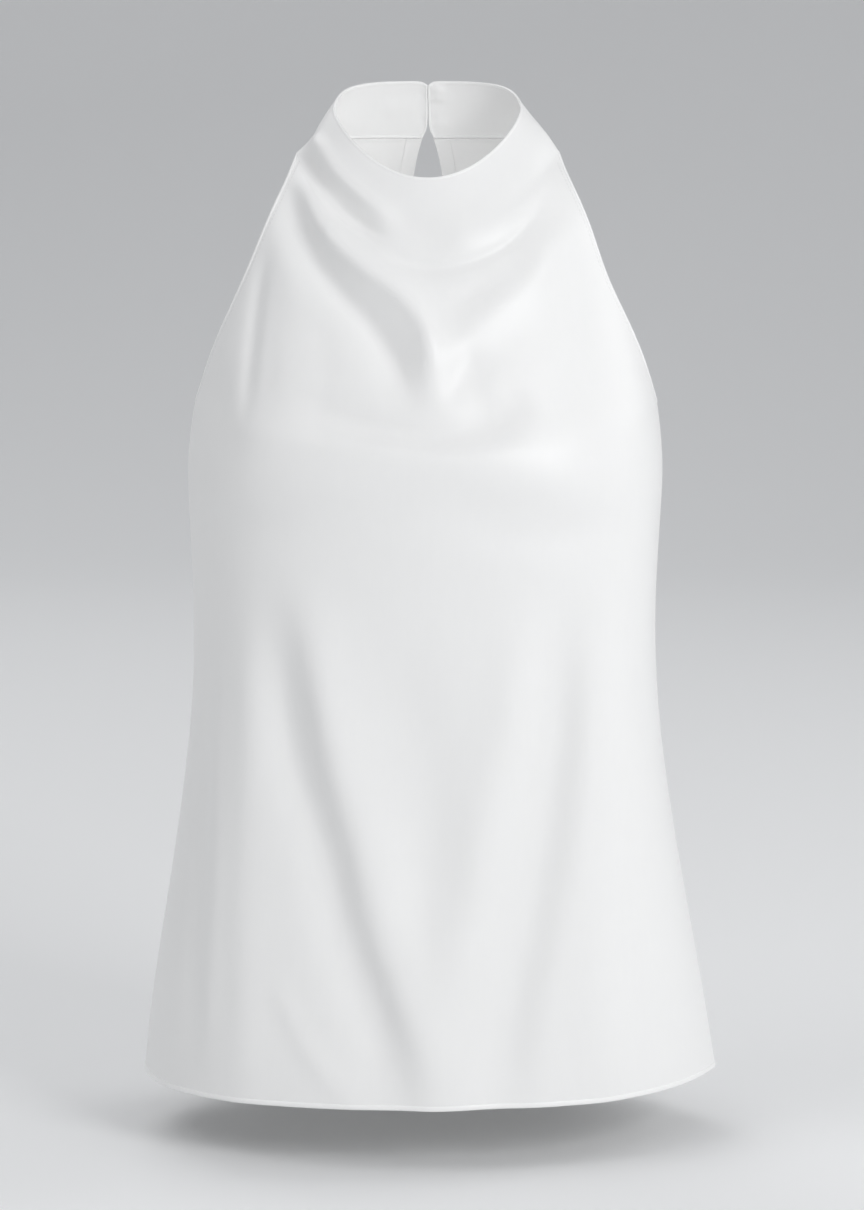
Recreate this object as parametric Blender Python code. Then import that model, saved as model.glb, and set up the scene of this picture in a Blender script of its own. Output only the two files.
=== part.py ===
# A sleeveless high neck top in satin, filled out as when it is worn.
# The front is one panel with a draped neck grown onto it. The back is one panel with a keyhole,
# and carries a stand in two parts that buttons at the centre back.
# The front faces -Y. The origin is in the middle of the neck opening, where its rim is highest
# at the sides.
import math
from collections import namedtuple

import bpy
import numpy as np
from mathutils import Vector

MM = 0.001

WALL = 1.2                  # cloth and its turned edges, as one wall
SEAM_GAP = 0.3              # between two pieces that are sewn together

# Sections of a panel, from the hem up, in millimetres. side is the height where the row meets
# its side edge, and mid the height at the centre line. left and right are the half-widths.
# y_side and y_mid are the depths at the side edge and at the centre. turn_l and turn_r are the
# degrees that the cloth has turned by, from the centre to each edge. full makes a row fuller
# than an arc, and lift raises it between the centre and the edge.
Section = namedtuple("Section", "side mid left right y_side y_mid turn_l turn_r full lift")

FRONT_SECTIONS = (
    Section(-599, -596, 178.0, 181.0, 0.0, -129.0, 86, 66, 0.30, 0.0),     # hem
    Section(-560, -557, 174.0, 174.6, 0.0, -127.0, 88, 73, 0.34, 0.0),
    Section(-510, -507, 166.2, 165.5, 0.0, -123.5, 90, 81, 0.38, 0.0),
    Section(-455, -453, 157.4, 155.3, 0.0, -119.5, 90, 87, 0.40, 0.0),
    Section(-400, -399, 149.8, 146.6, 0.0, -116.5, 90, 90, 0.42, 0.0),
    Section(-350, -350, 145.7, 141.9, 0.0, -116.0, 90, 90, 0.44, 0.0),     # waist
    Section(-300, -302, 145.2, 141.0, 0.0, -118.0, 90, 90, 0.46, 0.0),
    Section(-257, -264, 147.1, 143.4, 0.0, -122.5, 90, 90, 0.48, 0.0),
    Section(-222, -238, 148.2, 144.7, 0.0, -126.5, 90, 90, 0.48, 0.0),
    Section(-195, -220, 146.3, 143.6, 0.0, -129.0, 90, 90, 0.46, 0.0),     # bust
    Section(-180, -207, 143.6, 141.2, 0.0, -128.5, 90, 90, 0.42, 0.0),     # underarm
    Section(-178, -199, 142.6, 140.4, -9.0, -126.5, 89, 89, 0.36, 0.0),
    Section(-170, -189, 139.5, 137.6, -22.0, -122.5, 85, 85, 0.30, 0.0),
    Section(-152, -175, 133.3, 131.6, -34.0, -116.5, 79, 79, 0.24, 0.0),
    Section(-128, -157, 123.3, 121.2, -42.0, -109.5, 73, 73, 0.18, 0.0),
    Section(-101, -137, 111.0, 108.4, -45.5, -101.5, 67, 67, 0.13, 0.0),
    Section(-74, -116, 99.8, 99.2, -45.0, -93.0, 63, 63, 0.10, -0.10),
    Section(-52, -98, 90.2, 90.2, -38.0, -85.5, 61, 61, 0.08, -0.22),
    Section(-38, -85, 83.6, 83.8, -25.0, -80.0, 63, 63, 0.06, -0.34),
    Section(-28, -74, 80.4, 80.6, -8.0, -75.5, 69, 69, 0.04, -0.42),       # shoulder
    Section(-21, -65, 72.4, 76.2, -6.0, -72.0, 76, 76, 0.02, -0.48),
    Section(-14, -57, 68.3, 70.8, -3.0, -69.0, 82, 82, 0.0, -0.52),
    Section(-7, -49.5, 64.0, 63.4, 0.0, -66.0, 87, 87, 0.0, -0.54),
    Section(0, -42, 57.2, 57.0, 3.0, -63.0, 90, 90, 0.0, -0.55),           # neck
)

BACK_SECTIONS = (
    Section(-599, -598, 178.0, 181.0, 0.0, 116.0, 86, 66, 0.08, 0.0),      # hem
    Section(-560, -559, 174.0, 174.6, 0.0, 114.0, 88, 73, 0.09, 0.0),
    Section(-510, -509, 166.2, 165.5, 0.0, 109.0, 90, 81, 0.10, 0.0),
    Section(-455, -455, 157.4, 155.3, 0.0, 102.5, 90, 87, 0.11, 0.0),
    Section(-400, -400, 149.8, 146.6, 0.0, 97.0, 90, 90, 0.12, 0.0),
    Section(-350, -350, 145.7, 141.9, 0.0, 94.0, 90, 90, 0.14, 0.0),       # waist
    Section(-300, -301, 145.2, 141.0, 0.0, 95.0, 90, 90, 0.16, 0.0),
    Section(-257, -260, 147.1, 143.4, 0.0, 99.5, 90, 90, 0.18, 0.0),
    Section(-222, -229, 148.2, 144.7, 0.0, 104.0, 90, 90, 0.20, 0.0),
    Section(-195, -206, 146.3, 143.6, 0.0, 107.0, 90, 90, 0.22, 0.0),
    Section(-180, -193, 143.6, 141.2, 0.0, 108.5, 90, 90, 0.22, 0.0),      # underarm
    Section(-178, -188, 142.4, 140.2, 9.0, 108.8, 89, 89, 0.20, 0.0),
    Section(-170, -180, 139.0, 137.0, 22.0, 108.8, 85, 85, 0.18, 0.0),
    Section(-152, -165, 132.4, 130.7, 34.0, 107.8, 80, 80, 0.16, 0.0),
    Section(-128, -142, 122.0, 120.0, 43.0, 105.0, 74, 74, 0.13, 0.0),
    Section(-101, -116, 109.8, 107.4, 47.0, 100.5, 69, 69, 0.10, 0.0),     # keyhole's foot
    Section(-74, -88, 98.4, 98.0, 42.0, 91.5, 67, 67, 0.08, 0.0),
    Section(-52, -62, 89.3, 89.3, 31.0, 80.5, 67, 67, 0.06, 0.4),
    Section(-38, -40, 83.2, 83.4, 14.0, 70.0, 70, 70, 0.04, 0.9),
    Section(-28, -19.8, 80.4, 80.6, -8.0, 61.5, 76, 76, 0.02, 1.4),        # shoulder
    Section(-21, -11.5, 72.4, 76.2, -6.0, 59.4, 80, 80, 0.0, 1.0),
    Section(-14, -2.5, 68.3, 70.8, -3.0, 57.8, 84, 84, 0.0, 0.75),
    Section(-7, 6.5, 64.0, 63.4, 0.0, 56.4, 88, 88, 0.0, 0.7),
    Section(0, 15.5, 57.2, 57.0, 3.0, 55.0, 90, 90, 0.0, 0.9),             # neck
)

# Stations in the tables above where an edge has a corner, and where the keyhole ends
HEM, UNDERARM, KEYHOLE_FOOT, SHOULDER, NECK = 0, 10, 15, 19, 23

KEYHOLE_TOP = -13.5         # where the two halves of the stand part
KEYHOLE_WIDEST = -98.0
KEYHOLE_HALF_WIDTH = 13.0
KEYHOLE_TAPER = 0.66        # below 1, it widens fast under its top
NOTCH = 2.5                 # how far the rim dips where the halves of the stand meet

# Rows and columns of cloth between the corners
BODY_ROWS = 20
CHEST_ROWS = 17
BACK_CHEST_ROWS = (6, 12)   # below the keyhole's foot and above it
NECK_ROWS = 6
FRONT_COLUMNS = 36
BACK_COLUMNS = 24
BACK_COLUMN_BIAS = 1.3      # above 1, columns are narrower near the centre
SAMPLES = 400               # of a curve, to measure its length

# Folds, as soft ridges (height above 0) and troughs (below 0) along a route of (x, z) as seen
# from the front. reach is the distance at which a fold has mostly died out.
Fold = namedtuple("Fold", "height reach route")

FRONT_FOLDS = (
    # The first roll of the draped neck, from the left shoulder, and the trough under it
    Fold(4.5, 8, ((-79, -12), (-63, -31), (-52, -44), (-38, -56), (-27, -65), (-17, -76))),
    Fold(-5.0, 7, ((-84, -24), (-69, -43), (-57, -57), (-44, -68), (-32, -74), (-22, -84))),
    # The large roll, down to a point at the centre, with its trough
    Fold(7.5, 11, ((-84, -22), (-73, -48), (-59, -75), (-38, -95), (-18, -110), (-5, -125),
                   (0, -140), (0, -156), (-2, -180))),
    Fold(-6.5, 10, ((-88, -34), (-78, -64), (-65, -92), (-51, -110), (-37, -124), (-26, -140),
                    (-17, -158), (-8, -186))),
    # The same rolls on their way up to the right shoulder
    Fold(3.0, 13, ((-2, -79), (25, -74), (46, -63), (65, -47), (76, -30))),
    Fold(-2.5, 6, ((-31, -85), (-16, -92), (3, -95), (21, -92), (41, -86), (61, -71), (77, -55),
                   (85, -38))),
    Fold(-1.5, 6, ((67, -83), (59, -89), (41, -100), (27, -110), (16, -122))),
    Fold(3.0, 12, ((2, -173), (13, -150), (25, -131), (43, -114), (64, -97), (79, -76), (90, -54))),
    Fold(-2.5, 11, ((32, -138), (25, -157), (28, -172), (43, -175), (60, -162))),
    # The lowest swag of the neck
    Fold(-3.0, 10, ((-84, -168), (-66, -179), (-40, -182), (-16, -186), (7, -189), (31, -185),
                    (52, -172))),
    # Upright folds beside the armholes
    Fold(-3.0, 7, ((-93, -78), (-96, -97), (-100, -127), (-103, -168), (-106, -190))),
    Fold(-2.0, 9, ((80, -84), (85, -126), (88, -190))),
    Fold(-3.0, 11, ((-135, -148), (-128, -176), (-122, -198), (-117, -220))),
    # The shelf of the bust, and the hollows under it
    Fold(1.8, 13, ((-200, -228), (-130, -228), (-87, -225), (-57, -218), (0, -206), (60, -219),
                   (95, -227), (140, -231), (200, -231))),
    Fold(-2.8, 14, ((-200, -250), (-130, -250), (-87, -248), (-57, -242), (0, -230), (60, -243),
                    (95, -250), (140, -253), (200, -253))),
    # Long folds of the body, from the left side across to the right side
    Fold(4.0, 14, ((-104, -262), (-105, -317), (-106, -353), (-109, -400), (-112, -450),
                   (-112, -530), (-116, -640))),
    Fold(-6.5, 13, ((-100, -285), (-92, -317), (-86, -353), (-78, -395), (-63, -443), (-54, -485),
                    (-37, -533), (-25, -569), (-14, -620))),
    Fold(7.0, 15, ((-84, -255), (-67, -317), (-61, -353), (-52, -395), (-37, -443), (-27, -485),
                   (-9, -533), (2, -569), (10, -640))),
    Fold(-3.5, 17, ((-24, -310), (-8, -366), (0, -409), (6, -459), (12, -500))),
    Fold(5.0, 14, ((58, -280), (49, -366), (36, -409), (26, -459), (17, -502), (11, -570))),
    Fold(-7.0, 15, ((86, -270), (76, -366), (70, -409), (62, -459), (54, -502), (45, -552),
                    (40, -640))),
    Fold(5.0, 16, ((106, -250), (102, -366), (103, -409), (101, -459), (101, -502), (104, -552),
                   (112, -640))),
)

BACK_FOLDS = (
    # Pulls from the shoulders down past the keyhole
    Fold(-2.5, 9, ((-66, -40), (-56, -74), (-40, -112), (-22, -148))),
    Fold(2.5, 10, ((-78, -48), (-72, -84), (-60, -126), (-44, -170))),
    Fold(-2.5, 9, ((67, -42), (55, -78), (41, -118), (25, -152))),
    Fold(2.0, 10, ((79, -50), (71, -90), (58, -132), (46, -172))),
    # The hollow of the waist, and the long folds under it
    Fold(-3.0, 20, ((-95, -262), (-50, -274), (0, -278), (48, -272), (92, -264))),
    Fold(4.5, 18, ((-88, -215), (-80, -300), (-66, -390), (-50, -480), (-42, -560), (-40, -640))),
    Fold(-5.0, 16, ((-112, -240), (-106, -330), (-96, -420), (-84, -510), (-80, -640))),
    Fold(3.5, 14, ((-130, -300), (-128, -400), (-122, -500), (-124, -640))),
    Fold(-4.0, 20, ((-30, -300), (-16, -400), (-8, -500), (-10, -640))),
    Fold(4.0, 18, ((28, -240), (26, -340), (30, -440), (40, -540), (44, -640))),
    Fold(-5.0, 16, ((74, -250), (70, -340), (74, -430), (86, -530), (92, -640))),
    Fold(4.0, 15, ((110, -230), (106, -330), (112, -430), (122, -530), (128, -640))),
)

FOLD_EASE = 0.24            # share of a route over which a fold rises, and dies out again
FOLD_END = 3                # times its reach, where a fold has fully died out
EDGE_EASE = 0.12            # share of the half-width next to a side edge that folds leave smooth

# Closures on the outside of the stand: their heights, and how far they stand off its curve
CLOSURES = (("upper", 7.5, 0.25), ("lower", -8.5, 0.15))
BUTTON_OFFSET = 5.5         # from the meeting edges
BUTTON_RADIUS = 4.5
BUTTON_HEIGHT = 3.0
BUTTON_LIP = 0.6            # where its dome starts
BUTTON_CHAMFER = 0.4        # round its underside
BUTTON_LIFT = 0.3           # over the loop
SHANK_RADIUS = 1.5
LOOP_RADIUS = 0.5
LOOP_CLEARANCE = 0.4        # between the loop and the shank
LOOP_START = -4.5
LOOP_ARC_STEPS = 8
BUTTON_STEPS = 4            # rings of a button's dome
BUTTON_SIDES = 16
FACING_WALL = 0.8
FACING_COLUMNS = 2          # columns of the back that the keyhole's facing covers on each side
FACING_ROWS = 1             # rows below the keyhole's foot that it covers

SATIN = (0.93, 0.93, 0.92)
SATIN_ROUGHNESS = 0.38
CREASE_ANGLE = math.radians(50)     # edges sharper than this are shaded as corners
SLOPE_STEPS = 0.004, 0.02           # across and along a panel, to find its slope


class Smooth:
    """A smooth curve through values at stations 0, 1, 2 and so on, with corners where told."""

    def __init__(self, values, corners=()):
        stops = [0, *corners, len(values) - 1]
        self.pieces = [self.piece(values, a, b) for a, b in zip(stops, stops[1:])]

    @staticmethod
    def piece(values, start, stop):
        """The values from start to stop, and the bend of a natural cubic through them."""
        part = np.array(values[start:stop + 1], float)
        bend = np.zeros(len(part))
        inner = len(part) - 2
        if inner > 0:
            system = 4 * np.eye(inner) + np.eye(inner, k=1) + np.eye(inner, k=-1)
            bend[1:-1] = np.linalg.solve(system, 6 * (part[2:] - 2 * part[1:-1] + part[:-2]))
        return start, stop, part, bend

    def __call__(self, station):
        for start, stop, part, bend in self.pieces:
            if station <= stop:
                break
        index = min(max(int(station - start), 0), stop - start - 1)
        b = station - start - index
        a = 1 - b
        pull = (a ** 3 - a) * bend[index] + (b ** 3 - b) * bend[index + 1]
        return float(a * part[index] + b * part[index + 1] + pull / 6)


def smooth_route(points, steps=6):
    """A route with more points, on a Catmull-Rom curve through the given ones."""
    knots = [Vector(p) for p in (points[0], *points, points[-1])]
    route = []
    for p, q, r, s in zip(knots, knots[1:], knots[2:], knots[3:]):
        for step in range(steps):
            t = step / steps
            route.append(0.5 * (2 * q + (r - p) * t + (2 * p - 5 * q + 4 * r - s) * t ** 2
                                + (3 * q - p - 3 * r + s) * t ** 3))
    return route + [knots[-1]]


def ease(share):
    """0 up to 1, level at both ends."""
    share = min(max(share, 0.0), 1.0)
    return share * share * (3 - 2 * share)


class Relief:
    """The height of a set of folds at any place of the front projection."""

    def __init__(self, folds):
        self.folds = []
        for fold in folds:
            route = smooth_route(fold.route)
            lengths = [(b - a).length for a, b in zip(route, route[1:])]
            self.folds.append((fold.height, fold.reach, route, lengths))

    def __call__(self, x, z):
        place = Vector((x, z))
        return sum(self.one(place, *fold) for fold in self.folds)

    @staticmethod
    def one(place, height, reach, route, lengths):
        nearest, along, run = math.inf, 0.0, 0.0
        for start, stop, length in zip(route, route[1:], lengths):
            share = (place - start).dot(stop - start) / length ** 2
            share = min(max(share, 0.0), 1.0)
            distance = (start.lerp(stop, share) - place).length
            if distance < nearest:
                nearest, along = distance, run + share * length
            run += length
        if nearest > FOLD_END * reach:
            return 0.0
        along /= run
        ends = ease(along / FOLD_EASE) * ease((1 - along) / FOLD_EASE)
        return height * ends * math.exp(-(nearest / reach) ** 2)


class Panel:
    """The outer face of a panel: a point for each place across (-1 to 1) and station."""

    def __init__(self, sections, folds):
        edge_columns = ("side", "left", "right", "y_side")
        for name in Section._fields:
            corners = (UNDERARM, SHOULDER) if name in edge_columns else ()
            setattr(self, name, Smooth([getattr(s, name) for s in sections], corners))
        self.relief = Relief(folds)
        self.facing = math.copysign(1.0, sections[0].y_mid)

    def smooth_point(self, across, station):
        """The panel without its folds."""
        width, turn = self.left(station), math.radians(self.turn_l(station))
        if across > 0:
            width, turn = self.right(station), math.radians(self.turn_r(station))
        angle = abs(across) * turn
        inward = (math.cos(angle) - math.cos(turn)) / (1 - math.cos(turn))
        hump = inward * (1 - inward)
        y_side, y_mid = self.y_side(station), self.y_mid(station)
        side, mid = self.side(station), self.mid(station)
        return Vector((math.copysign(width * math.sin(angle) / math.sin(turn), across),
                       y_side + (y_mid - y_side) * (inward + self.full(station) * hump),
                       side + (mid - side) * (inward + self.lift(station) * hump)))

    def slope(self, point_at, across, station):
        """The unit normal of a face, pointing out, from points close by on it."""
        step, rise = SLOPE_STEPS
        west, east = max(across - step, -1.0), min(across + step, 1.0)
        low, high = max(station - rise, HEM), min(station + rise, NECK)
        along = point_at(east, station) - point_at(west, station)
        up = point_at(across, high) - point_at(across, low)
        return self.facing * up.cross(along).normalized()

    def point(self, across, station):
        """The panel with its folds, which die out towards its side edges."""
        base = self.smooth_point(across, station)
        height = self.relief(base.x, base.z) * ease((1 - abs(across)) / EDGE_EASE)
        if height == 0.0:
            return base
        return base + height * self.slope(self.smooth_point, across, station)

    def normal(self, across, station):
        return self.slope(self.point, across, station)


FRONT = Panel(FRONT_SECTIONS, FRONT_FOLDS)
BACK = Panel(BACK_SECTIONS, BACK_FOLDS)


def keyhole_half_width(height):
    """Half the gap at the centre back: a teardrop, and the seam's gap above it."""
    foot = BACK.mid(KEYHOLE_FOOT)
    if height >= KEYHOLE_TOP:
        return SEAM_GAP / 2
    if height >= KEYHOLE_WIDEST:
        share = (KEYHOLE_TOP - height) / (KEYHOLE_TOP - KEYHOLE_WIDEST)
        width = KEYHOLE_HALF_WIDTH * math.sin(math.pi / 2 * share ** KEYHOLE_TAPER)
        return max(width, SEAM_GAP / 2)
    drop = min((KEYHOLE_WIDEST - height) / (KEYHOLE_WIDEST - foot), 1.0)
    return KEYHOLE_HALF_WIDTH * math.sqrt(1 - drop * drop)


def keyhole_edge(station):
    """The right edge of the keyhole at a station."""
    height = BACK.mid(station)
    return Vector((keyhole_half_width(height), BACK.y_mid(station), height))


def spaced(place_at, start, stop, count):
    """Stations from start to stop between which the places travel equal lengths."""
    samples = np.linspace(start, stop, SAMPLES + 1)
    steps = np.diff([place_at(station) for station in samples], axis=0)
    lengths = np.append(0.0, np.cumsum(np.linalg.norm(steps, axis=1)))
    return np.interp(np.linspace(0, lengths[-1], count + 1), lengths, samples).tolist()


def back_across(share, side, station):
    """Columns of the back: narrow ones at the centre, parted by the keyhole."""
    across = side * abs(share) ** BACK_COLUMN_BIAS
    if station < KEYHOLE_FOOT:
        return across
    turn = math.radians(BACK.turn_r(station))
    gap = keyhole_half_width(BACK.mid(station)) * math.sin(turn) / (BACK.right(station) * turn)
    return across + side * gap * (1 - abs(across)) ** 2


def sewn_at_side(station):
    """Whether the side edge is a seam there, and not the armhole."""
    return station <= UNDERARM or station >= SHOULDER


def side_normal(side, station):
    """Shared by the two pieces that meet at a side seam."""
    return (FRONT.normal(side, station) + BACK.normal(side, station)).normalized()


class Sheet:
    """The outer face of one piece of cloth: its points, their normals and its quads."""

    def __init__(self):
        self.points, self.normals, self.quads = {}, {}, []

    def add(self, key, panel, across, station):
        self.points[key] = panel.point(across, station)
        if abs(across) == 1.0 and sewn_at_side(station):
            self.normals[key] = side_normal(across, station)
        else:
            self.normals[key] = panel.normal(across, station)

    def trim(self, pairs):
        """Moves each first point towards its neighbour by half the gap of a seam."""
        moved = {}
        for key, neighbour in pairs:
            way = (self.points[neighbour] - self.points[key]).normalized()
            moved[key] = moved.get(key, Vector()) + way * SEAM_GAP / 2
        for key, move in moved.items():
            self.points[key] = self.points[key] + move


def wall_object(name, points, normals, quads, wall=WALL, colour=SATIN):
    """A closed wall under a face: the face, the same face moved in, and a rim round the edges."""
    keys = list(dict.fromkeys(key for quad in quads for key in quad))
    outer = {key: index for index, key in enumerate(keys)}
    inner = {key: index + len(keys) for index, key in enumerate(keys)}
    verts = [points[key] * MM for key in keys]
    verts += [(points[key] - wall * normals[key]) * MM for key in keys]
    edges = {(a, b) for quad in quads for a, b in zip(quad, quad[1:] + quad[:1])}
    faces = []
    for a, b, c, d in quads:
        if (points[a] - points[c]).length > (points[b] - points[d]).length:
            a, b, c, d = b, c, d, a
        for p, q, r in ((a, b, c), (a, c, d)):
            faces.append((outer[p], outer[q], outer[r]))
            faces.append((inner[r], inner[q], inner[p]))
    for a, b in edges:
        if (b, a) not in edges:
            faces.append((outer[b], outer[a], inner[a]))
            faces.append((outer[b], inner[a], inner[b]))
    mesh = bpy.data.meshes.new(name)
    mesh.from_pydata(verts, [], faces)
    mesh.shade_smooth()
    mesh.set_sharp_from_angle(angle=CREASE_ANGLE)
    return place(name, mesh, colour)


def place(name, data, colour):
    """A named object with a material of its own."""
    thing = bpy.data.objects.new(name, data)
    bpy.context.scene.collection.objects.link(thing)
    material = bpy.data.materials.new(name)
    material.use_nodes = True
    shader = material.node_tree.nodes["Principled BSDF"]
    shader.inputs["Base Color"].default_value = (*colour, 1.0)
    shader.inputs["Roughness"].default_value = SATIN_ROUGHNESS
    shader.inputs["Metallic"].default_value = 0.0
    data.materials.append(material)
    return thing


def grid_quads(rows, columns, key=lambda r, c: (r, c)):
    """Quads of a grid that is seen from the front, columns to the right and rows going up."""
    return [(key(r, c), key(r, c + 1), key(r + 1, c + 1), key(r + 1, c))
            for r in range(rows) for c in range(columns)]


def side_edge(station):
    return tuple(FRONT.smooth_point(1.0, station))


def front_edge_and_middle(station):
    return side_edge(station) + tuple(FRONT.smooth_point(0.0, station))


def back_edge_and_keyhole(station):
    return tuple(BACK.smooth_point(1.0, station)) + tuple(keyhole_edge(station))


def make_front():
    rows = spaced(side_edge, HEM, UNDERARM, BODY_ROWS)
    rows += spaced(front_edge_and_middle, UNDERARM, SHOULDER, CHEST_ROWS)[1:]
    rows += spaced(side_edge, SHOULDER, NECK, NECK_ROWS)[1:]
    sheet = Sheet()
    for r, station in enumerate(rows):
        for c in range(FRONT_COLUMNS + 1):
            sheet.add((r, c), FRONT, 2 * c / FRONT_COLUMNS - 1, station)
    last = FRONT_COLUMNS
    sewn = [r for r, station in enumerate(rows) if sewn_at_side(station)]
    sheet.trim([((r, 0), (r, 1)) for r in sewn] + [((r, last), (r, last - 1)) for r in sewn])
    sheet.quads = grid_quads(len(rows) - 1, last)
    wall_object("front", sheet.points, sheet.normals, sheet.quads)


def back_sheet(rows, columns, foot):
    """Part of the back or its stand. The centre column is double in the rows above foot."""
    half = BACK_COLUMNS // 2

    def key(r, c, side):
        return (r, c, side if c == half and r > foot else 0)

    sheet = Sheet()
    for r, station in enumerate(rows):
        for c in columns:
            sides = (-1, 1) if c == half else (-1,) if c < half else (1,)
            for side in sides:
                across = back_across(c / half - 1, side, station)
                sheet.add(key(r, c, side), BACK, across, station)
    for r in range(len(rows) - 1):
        for c in columns[:-1]:
            side = -1 if c < half else 1
            corners = ((r, c + 1), (r, c), (r + 1, c), (r + 1, c + 1))
            sheet.quads.append(tuple(key(*corner, side) for corner in corners))
    return sheet


def side_trims(rows, outer_to_inner):
    """The points of the side seams with their neighbours, in the columns that are paired."""
    sewn = [r for r, station in enumerate(rows) if sewn_at_side(station)]
    return [((r, a, 0), (r, b, 0)) for a, b in outer_to_inner for r in sewn]


def chest_rows():
    """Rows of the back from the underarm to the shoulder, and how many lie below the keyhole."""
    below, beside = BACK_CHEST_ROWS
    rows = spaced(back_edge_and_keyhole, UNDERARM, KEYHOLE_FOOT, below)
    return rows + spaced(back_edge_and_keyhole, KEYHOLE_FOOT, SHOULDER, beside)[1:]


def make_back():
    rows = spaced(side_edge, HEM, UNDERARM, BODY_ROWS) + chest_rows()[1:]
    foot = BODY_ROWS + BACK_CHEST_ROWS[0]
    last = BACK_COLUMNS
    sheet = back_sheet(rows, range(last + 1), foot)
    face_keyhole(sheet, len(rows) - 1, foot)
    top = len(rows) - 1
    pairs = side_trims(rows, ((0, 1), (last, last - 1)))
    pairs += [(key, (top - 1, *key[1:])) for key in sheet.points if key[0] == top]
    sheet.trim(pairs)
    wall_object("back", sheet.points, sheet.normals, sheet.quads)


def face_keyhole(sheet, top, foot):
    """A narrow strip inside the back, round the keyhole, on the back's own points."""
    half = BACK_COLUMNS // 2
    near = range(half - FACING_COLUMNS, half + FACING_COLUMNS)
    quads = [q for q in sheet.quads
             if min(k[0] for k in q) >= foot - FACING_ROWS and min(k[1] for k in q) in near]
    depth = WALL + SEAM_GAP
    points = {k: sheet.points[k] - depth * sheet.normals[k] for q in quads for k in q}
    facing = Sheet()
    facing.points = points
    facing.trim([(key, (top - 1, *key[1:])) for key in points if key[0] == top])
    wall_object("keyhole_facing", facing.points, sheet.normals, quads, wall=FACING_WALL)


def make_collar(name, columns):
    """Half of the stand, from the neck seam to the meeting edges at the centre back."""
    rows = spaced(side_edge, SHOULDER, NECK, NECK_ROWS)
    sheet = back_sheet(rows, columns, -1)
    half = BACK_COLUMNS // 2
    side = -1 if columns[0] == 0 else 1
    edge, inside = (columns[0], columns[1]) if side < 0 else (columns[-1], columns[-2])
    other = {key for key in sheet.points if key[1] == half and key[2] != side}
    for key in other:
        del sheet.points[key]
    sheet.points[(NECK_ROWS, half, side)].z -= NOTCH
    pairs = side_trims(rows, ((edge, inside),))
    pairs += [(key, (1, *key[1:])) for key in sheet.points if key[0] == 0]
    sheet.trim(pairs)
    wall_object(name, sheet.points, sheet.normals, sheet.quads)


def on_stand(x, height):
    """The point and normal of the stand's outer face near the centre back."""
    stations = np.linspace(SHOULDER, NECK, SAMPLES + 1)
    station = float(np.interp(height, [BACK.mid(s) for s in stations], stations))
    turn = math.radians(BACK.turn_r(station))
    across = math.asin(x * math.sin(turn) / BACK.right(station)) / turn
    return BACK.point(across, station), BACK.normal(across, station)


def make_button(name, height, seat):
    """A covered button on a shank, standing on the right half of the stand."""
    base, normal = on_stand(BUTTON_OFFSET, height)
    underside = seat + 2 * (LOOP_RADIUS + SEAM_GAP) + BUTTON_LIFT
    profile = [(0.0, seat), (SHANK_RADIUS, seat), (SHANK_RADIUS, underside),
               (BUTTON_RADIUS - BUTTON_CHAMFER, underside),
               (BUTTON_RADIUS, underside + BUTTON_LIP)]
    for step in range(1, BUTTON_STEPS):
        angle = math.pi / 2 * step / BUTTON_STEPS
        profile.append((BUTTON_RADIUS * math.cos(angle),
                        underside + BUTTON_LIP
                        + (BUTTON_HEIGHT - BUTTON_LIP) * math.sin(angle)))
    profile.append((0.0, underside + BUTTON_HEIGHT))
    mesh = turned(name, profile)
    button = place(name, mesh, SATIN)
    button.rotation_mode = "QUATERNION"
    button.rotation_quaternion = normal.to_track_quat("Z", "Y")
    button.location = base * MM


def turned(name, profile):
    """A solid turned round Z, from a profile of (radius, height) that starts and ends on Z."""
    verts = [Vector((0, 0, profile[0][1])) * MM]
    for radius, height in profile[1:-1]:
        for step in range(BUTTON_SIDES):
            angle = 2 * math.pi * step / BUTTON_SIDES
            verts.append(Vector((radius * math.cos(angle), radius * math.sin(angle), height)) * MM)
    verts.append(Vector((0, 0, profile[-1][1])) * MM)
    rings = len(profile) - 2
    faces = []
    for step in range(BUTTON_SIDES):
        near, far = step + 1, (step + 1) % BUTTON_SIDES + 1
        last = (rings - 1) * BUTTON_SIDES
        faces.append((0, far, near))
        faces.append((len(verts) - 1, last + near, last + far))
        for ring in range(rings - 1):
            low, high = ring * BUTTON_SIDES, (ring + 1) * BUTTON_SIDES
            faces.append((low + near, low + far, high + far, high + near))
    mesh = bpy.data.meshes.new(name)
    mesh.from_pydata(verts, [], faces)
    mesh.shade_smooth()
    mesh.set_sharp_from_angle(angle=CREASE_ANGLE)
    return mesh


def make_loop(name, height, seat):
    """A cord loop from the left half of the stand round the shank of a button."""
    bend = SHANK_RADIUS + LOOP_CLEARANCE + LOOP_RADIUS
    flat = [(LOOP_START, -bend), (LOOP_START / 2, -bend), (0.0, -bend), (BUTTON_OFFSET / 2, -bend)]
    for step in range(LOOP_ARC_STEPS + 1):
        angle = math.pi * (step / LOOP_ARC_STEPS - 0.5)
        flat.append((BUTTON_OFFSET + bend * math.cos(angle), bend * math.sin(angle)))
    flat += [(x, bend) for x, rise in reversed(flat[:4])]
    curve = bpy.data.curves.new(name, "CURVE")
    curve.dimensions = "3D"
    curve.bevel_depth = LOOP_RADIUS * MM
    curve.bevel_resolution = 1
    curve.use_fill_caps = True
    spline = curve.splines.new("POLY")
    spline.points.add(len(flat) - 1)
    for point, (x, rise) in zip(spline.points, flat):
        base, normal = on_stand(x, height + rise)
        point.co = (*((base + (LOOP_RADIUS + seat) * normal) * MM), 1.0)
    place(name, curve, SATIN)


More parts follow.
